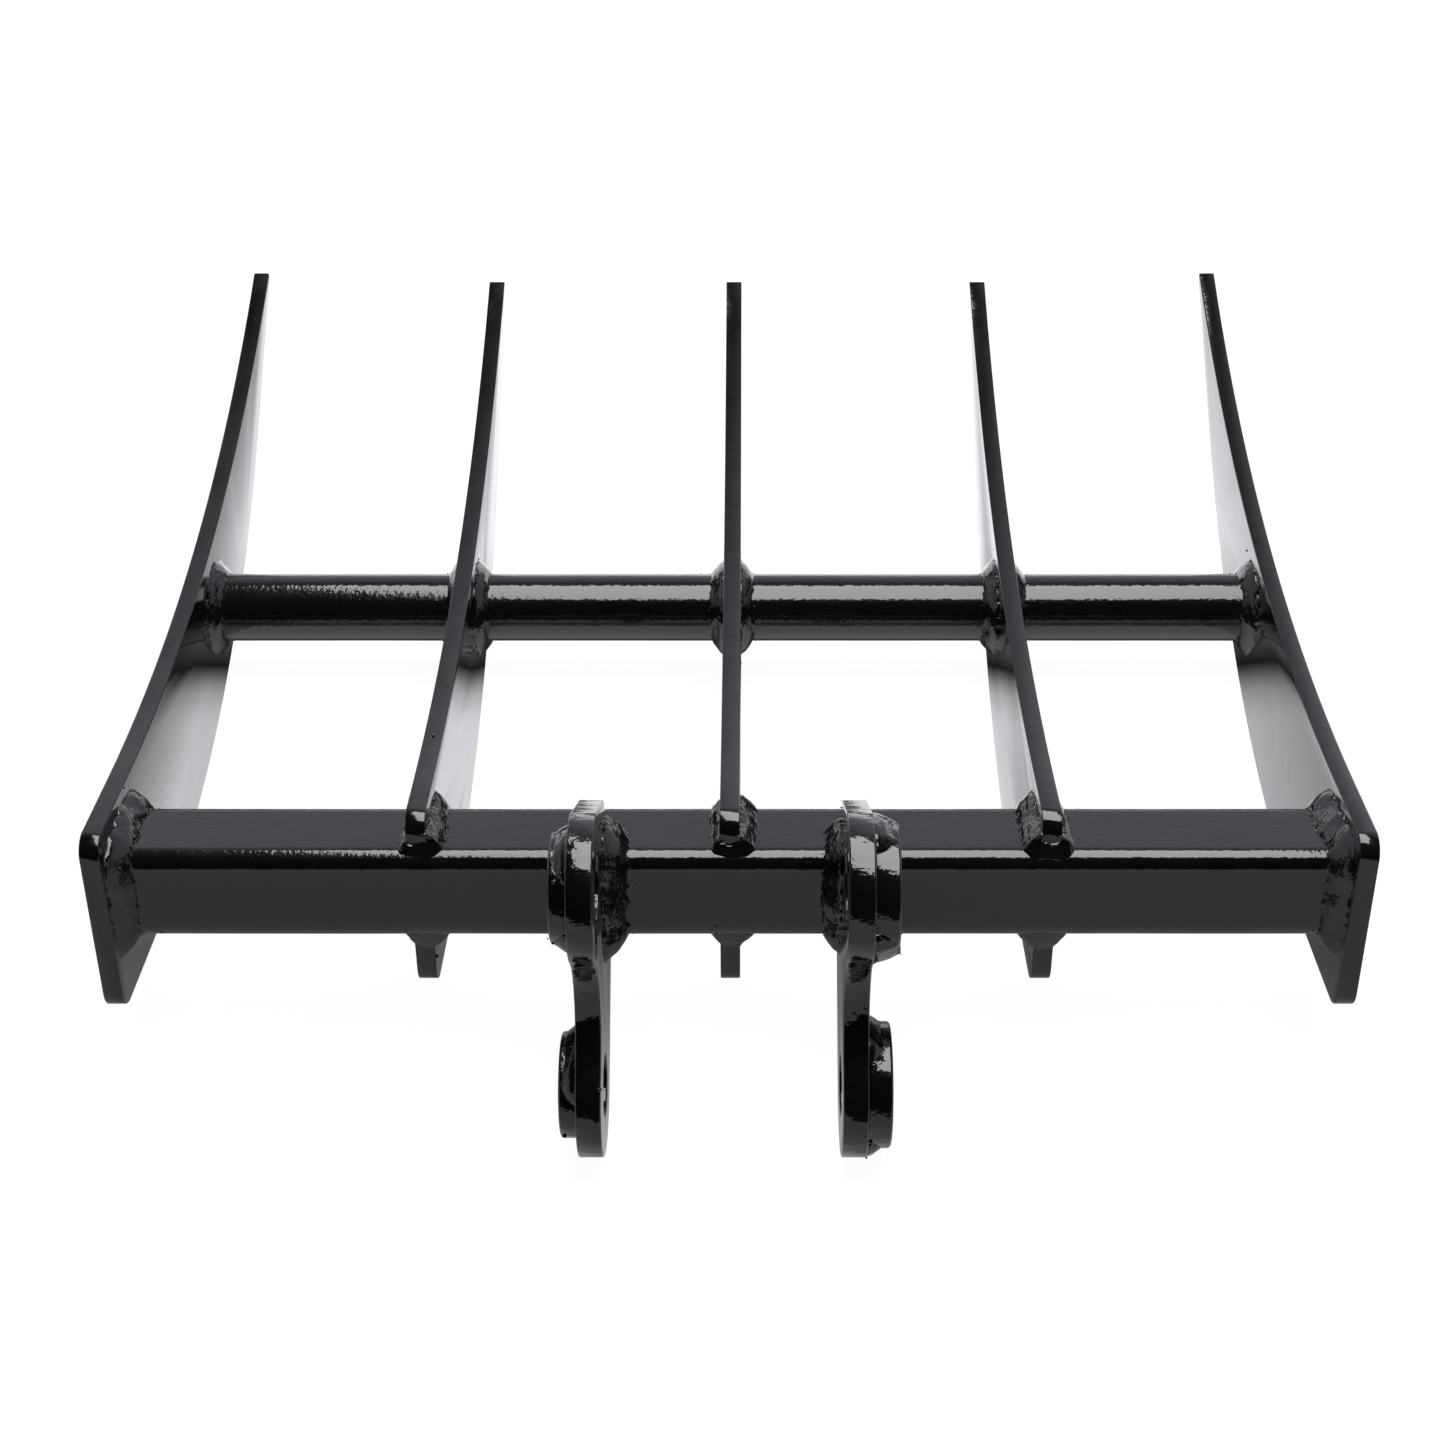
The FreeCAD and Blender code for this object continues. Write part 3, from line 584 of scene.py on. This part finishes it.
def beam_roots(loop, face, way, leg):
    """Roots round the beam; the bead is drawn out at its front foot and thin under the beam."""
    roots = []
    for y, z, out_y, out_z in loop:
        below = (math.degrees(math.atan2(out_z, out_y)) + 360) % 360
        share = 1.0
        if FRONT <= below < FOOT:
            share = between(below, FRONT, FOOT, 1, FOOT_SHARE)
        elif FOOT <= below < UNDER:
            share = between(below, FOOT, UNDER, FOOT_SHARE, UNDER_SHARE)
        elif below >= UNDER:
            share = UNDER_SHARE
        roots.append((Vector((face, y, z)), Vector((way, 0, 0)), Vector((0, out_y, out_z)),
                      leg * min(1, share), leg * share))
    return roots


def stretch(loop, keep):
    """The unbroken part of a loop whose points pass the test."""
    inside = [keep(point) for point in loop]
    first = next(n for n in range(len(loop)) if inside[n] and not inside[n - 1])
    turned = loop[first:] + loop[:first]
    kept = []
    for point in turned:
        if not keep(point):
            break
        kept.append(point)
    return kept


# Each paint's name, colour and the heights of its peel and of the waves in cut edges and faces.
tine_paint = enamel("tine_enamel", BLACK, 0.05 * MM, 0.16 * MM, 0.08 * MM)
ear_paint = enamel("ear_enamel", BLACK, 0.05 * MM, 0.75 * MM, 0.08 * MM)
tube_paint = enamel("tube_enamel", BLACK, 0.10 * MM, 0.12 * MM, 0.12 * MM)
weld_paint = enamel("weld_enamel", BLACK, 0.18 * MM, 0.7 * MM, 0.7 * MM)


def make_plates():
    for name in (*OUTER_TINES, *INNER_TINES):
        dressed(name + "_tine", TINE_EDGE, tine_paint)
    for name in ("left", "right"):
        dressed(name + "_ear", EAR_EDGE, ear_paint)
        for pin in ("dipper", "link"):
            dressed("%s_%s_boss" % (name, pin), BOSS_EDGE, ear_paint)


def make_tubes():
    outer = rounded_square(0, BEAM_CORNER, BEAM_STEP)
    inner = rounded_square(BEAM_WALL, BEAM_CORNER - BEAM_WALL, BEAM_STEP)
    # The inner loop is given as many points as the outer one.
    inner = [inner[round(n * len(inner) / len(outer)) % len(inner)] for n in range(len(outer))]
    tube("beam_shell", "main_beam", outer, inner, BEAM_WAVES, tube_paint)
    bore_radius = TUBE_RADIUS - TUBE_WALL
    ring = circle(TUBE_AT, TUBE_RADIUS, TUBE_STEP)
    bore = circle(TUBE_AT, bore_radius, TUBE_STEP * bore_radius / TUBE_RADIUS)
    tube("cross_tube_shell", "cross_tube", ring, bore, TUBE_WAVES, tube_paint)


def make_tube_welds():
    ring = circle(TUBE_AT, TUBE_RADIUS, STEP)
    for name in (*OUTER_TINES, *INNER_TINES):
        low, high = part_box(name + "_tine")
        bead = Bead(name + "_tube_bead")
        ways = (OUTER_TINES[name],) if name in OUTER_TINES else (-1, 1)
        for way in ways:
            roots = roots_on(ring, high.x if way > 0 else low.x, way, TUBE_LEG, TUBE_RISE)
            bead.run(roots, closed=True)
            bead.spatter(roots, *TUBE_SPATTER)
        bead.finish(weld_paint, name + "_tube_weld")


def make_beam_welds():
    square = rounded_square(0, BEAM_CORNER, STEP)
    for side, way in (("left", 1), ("right", -1)):
        low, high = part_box(side + "_outer_tine")
        bead = Bead(side + "_beam_end_bead")
        roots = beam_roots(square, high.x if way > 0 else low.x, way, BEAM_LEG)
        bead.run(roots, closed=True)
        bead.spatter(roots, *END_SPATTER)
        bead.finish(weld_paint, side + "_beam_end_weld")
    behind = stretch(square, lambda point: point[0] > FINGER_FRONT)
    for name, (left, right) in NOTCH_LEGS.items():
        low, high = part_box(name + "_tine")
        bead = Bead(name + "_notch_bead")
        roots = roots_on(behind, low.x, -1, left, left)
        roots += finger_front(low.x, high.x, BEAM_TOP - BEAM_SIZE, -1, left, right)
        roots += reversed(roots_on(behind, high.x, 1, right, right))
        roots += finger_front(high.x, low.x, BEAM_TOP, 1, right, left)
        bead.run(roots, closed=True)
        bead.spatter(roots, *NOTCH_SPATTER)
        if name == "left_inner":
            for *centre, radius in LEFT_DROPS:
                bead.ball(Vector(centre) * MM, radius * MM)
        bead.finish(weld_paint, name + "_notch_weld")


def finger_front(start, end, z, up, first, last):
    """Roots that lead the bead round the front of a finger from one of its faces to the other."""
    side = math.copysign(1, end - start)
    middle = (start + end) / 2
    reach = abs(end - start) / 2
    roots = []
    for number in range(1, FRONT_CUTS):
        angle = math.pi * number / FRONT_CUTS
        out = Vector((-side * math.cos(angle), -math.sin(angle), 0))
        square = max(abs(out.x), abs(out.y))
        front = math.sin(angle)
        spot = Vector((middle + out.x / square * reach, FINGER_FRONT - front * FRONT_BOW, z))
        forward, down = FRONT_LEAN
        along = Vector((out.x, out.y * forward, -abs(out.y) * down * up)).normalized()
        leg = between(number, 0, FRONT_CUTS, first, last)
        hang = TOP_HANG if up > 0 else FOOT_HANG
        roots.append((spot, along, Vector((0, 0, up)), leg * (1 - FRONT_PULL * front),
                      leg * (1 + hang * front)))
    return roots


def make_ear_welds():
    square = rounded_square(0, BEAM_CORNER, STEP)
    hooked = stretch(square, lambda point: point[0] < BEAM_FRONT + EAR_WRAP)
    for side, out in (("left", -1), ("right", 1)):
        low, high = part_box(side + "_ear")
        bead = Bead(side + "_ear_bead")
        for face, way in ((low.x, -1), (high.x, 1)):
            leg = EAR_LEG if way * out < 0 and side == "left" else SMALL_EAR_LEG
            roots = beam_roots(hooked, face, way, leg)
            bead.run(roots, closed=False)
            bead.spatter(roots, *EAR_SPATTER)
        if side == "left":
            pimples(bead, high.x + EAR_LEG)
        bead.finish(weld_paint, side + "_ear_weld")
        radius = LEFT_BOSS_RADIUS if side == "left" else RIGHT_BOSS_RADIUS
        face = low.x if side == "left" else high.x
        for pin, centre in (("dipper", (0, 0)), ("link", LINK_LEVEL)):
            bead = Bead("%s_%s_boss_bead" % (side, pin))
            over, under, lead = BOSS_BEADS[side, pin]
            for start, sweep in (over, under):
                loop = circle(centre, radius, STEP, start, sweep)
                roots = roots_on(loop, face, out, lead, BOSS_RISE)
                bead.run(roots, closed=False)
                bead.spatter(roots, *BOSS_SPATTER)
            for x, away, angle, size in BLOBS[side, pin]:
                way = Vector((0, math.cos(math.radians(angle)), math.sin(math.radians(angle))))
                bead.ball(Vector((x * MM, *centre)) + way * away * MM, size * MM)
            bead.finish(weld_paint, "%s_%s_boss_weld" % (side, pin))


def pimples(bead, start):
    """Fine spatter on the beam's front, thickest beside the bead."""
    for _ in range(PIMPLES):
        x = start + PIMPLE_REACH * bead.dice.random() ** 1.4
        z = BEAM_TOP - BEAM_CORNER - (BEAM_SIZE - 2 * BEAM_CORNER) * bead.dice.random()
        radius = (PIMPLE + PIMPLE_RANGE * bead.dice.random()) * MM
        bead.ball((x, BEAM_FRONT + PIMPLE_SUNK, z), radius)


def lit_white(nodes, share, glow):
    """A glow with a share of a lit white surface added, so that the object's shadow shows."""
    surface = nodes.add("BsdfDiffuse", Color=(share, share, share, 1))
    both = nodes.add("AddShader")
    nodes.wire(surface.outputs[0], both, 0)
    nodes.wire(glow.outputs[0], both, 1)
    return both


def make_floor():
    """White to the camera, glowing with painted shadow to what mirrors it, and plainly pale to
    other light.
    """
    bpy.ops.mesh.primitive_plane_add(size=FLOOR_SIZE, location=(0, FLOOR_Y, cad_box[0][2]))
    floor = bpy.context.object
    floor.name = "floor"
    material = bpy.data.materials.new("pale_floor")
    material.use_nodes = True
    nodes = Nodes(material.node_tree)
    out = nodes.add("OutputMaterial")
    rays = nodes.add("LightPath")
    real = nodes.add("BsdfDiffuse", Color=FLOOR_COLOUR)
    spot = nodes.add("TexCoord").outputs["Object"]
    away = nodes.add("VectorMath", operation="LENGTH")
    nodes.wire(spot, away, 0)
    near, far = GLOW_RISE
    whiter = nodes.add("MapRange", From_Min=near, From_Max=far, To_Min=FLOOR_GLOW, To_Max=1.0)
    nodes.wire(away.outputs["Value"], whiter, "Value")
    bright = nodes.add("Emission")
    nodes.wire(whiter.outputs[0], bright, "Strength")
    seen = lit_white(nodes, SHADOW_SHARE, bright)
    place = nodes.add("SeparateXYZ")
    nodes.wire(spot, place, 0)
    along = nodes.add("MapRange", From_Min=-1.0, From_Max=1.0)
    nodes.wire(nodes.maths("ADD", place.outputs[1], FLOOR_Y), along, "Value")
    # Painted shadow of the beam and the tube along y, as a glow seen only in what mirrors the
    # floor.
    painted_shadow = nodes.ramp([((y + 1) / 2, (level, level, level * COOL)) for y, level in PAINTED_FLOOR_SHADOW])
    nodes.wire(along.outputs[0], painted_shadow, "Fac")
    glow = nodes.add("Emission", Strength=1.0)
    nodes.wire(painted_shadow.outputs[0], glow, "Color")
    mirrored = lit_white(nodes, SHADOW_SHARE, glow)
    first = nodes.add("MixShader")
    nodes.wire(rays.outputs["Is Glossy Ray"], first, 0)
    nodes.wire(real.outputs[0], first, 1)
    nodes.wire(mirrored.outputs[0], first, 2)
    pick = nodes.add("MixShader")
    nodes.wire(rays.outputs["Is Camera Ray"], pick, 0)
    nodes.wire(first.outputs[0], pick, 1)
    nodes.wire(seen.outputs[0], pick, 2)
    nodes.wire(pick.outputs[0], out, "Surface")
    floor.data.materials.append(material)


def make_world():
    """White to the camera, and otherwise the studio."""
    world = bpy.data.worlds.new("studio")
    bpy.context.scene.world = world
    world.use_nodes = True
    nodes = Nodes(world.node_tree)
    out = nodes.add("OutputWorld")
    way = nodes.add("SeparateXYZ")
    nodes.wire(nodes.add("TexCoord").outputs["Generated"], way, 0)
    back = nodes.maths("MULTIPLY", way.outputs[1], STUDIO_BACK)
    lift = nodes.maths("MULTIPLY", way.outputs[2], STUDIO_LIFT)
    across = nodes.maths("ABSOLUTE", way.outputs[0], 0)
    sides = nodes.maths("MULTIPLY", nodes.maths("POWER", across, 3), STUDIO_SIDES)
    level = nodes.maths("ADD", nodes.maths("ADD", back, lift), sides)
    ramp = nodes.ramp(STUDIO_SHADE)
    nodes.wire(level, ramp, "Fac")
    studio = nodes.add("Background")
    nodes.wire(ramp.outputs[0], studio, "Color")
    white = nodes.add("Background", Color=(1, 1, 1, 1), Strength=1.0)
    pick = nodes.add("MixShader")
    nodes.wire(nodes.add("LightPath").outputs["Is Camera Ray"], pick, 0)
    nodes.wire(studio.outputs[0], pick, 1)
    nodes.wire(white.outputs[0], pick, 2)
    nodes.wire(pick.outputs[0], out, "Surface")


def make_softbox():
    """One large soft light overhead whose near left corner is cut off, built of straight panels."""
    rights = [left for left, _ in SOFTBOX_PANELS[1:]] + [SOFTBOX_RIGHT]
    for number, ((left, near), right) in enumerate(zip(SOFTBOX_PANELS, rights)):
        data = bpy.data.lights.new("softbox_%d" % number, "AREA")
        data.shape = "RECTANGLE"
        data.size, data.size_y = right - left, SOFTBOX_BACK - near
        data.energy = SOFTBOX_RADIANCE * math.pi * data.size * data.size_y
        lamp = bpy.data.objects.new(data.name, data)
        lamp.location = ((left + right) / 2, (near + SOFTBOX_BACK) / 2, SOFTBOX_HEIGHT)
        bpy.context.scene.collection.objects.link(lamp)


def make_camera():
    data = bpy.data.cameras.new("camera")
    data.sensor_width = SENSOR_WIDTH
    data.lens = CAMERA_LENS
    data.shift_x = CAMERA_SHIFT
    camera = bpy.data.objects.new("camera", data)
    bpy.context.scene.collection.objects.link(camera)
    camera.location = CAMERA_AT
    camera.rotation_euler = (math.radians(90 - CAMERA_DOWN), 0, 0)
    bpy.context.scene.camera = camera


make_plates()
make_tubes()
make_tube_welds()
make_beam_welds()
make_ear_welds()
make_floor()
make_world()
make_softbox()
make_camera()
bpy.context.scene.view_settings.view_transform = "Standard"
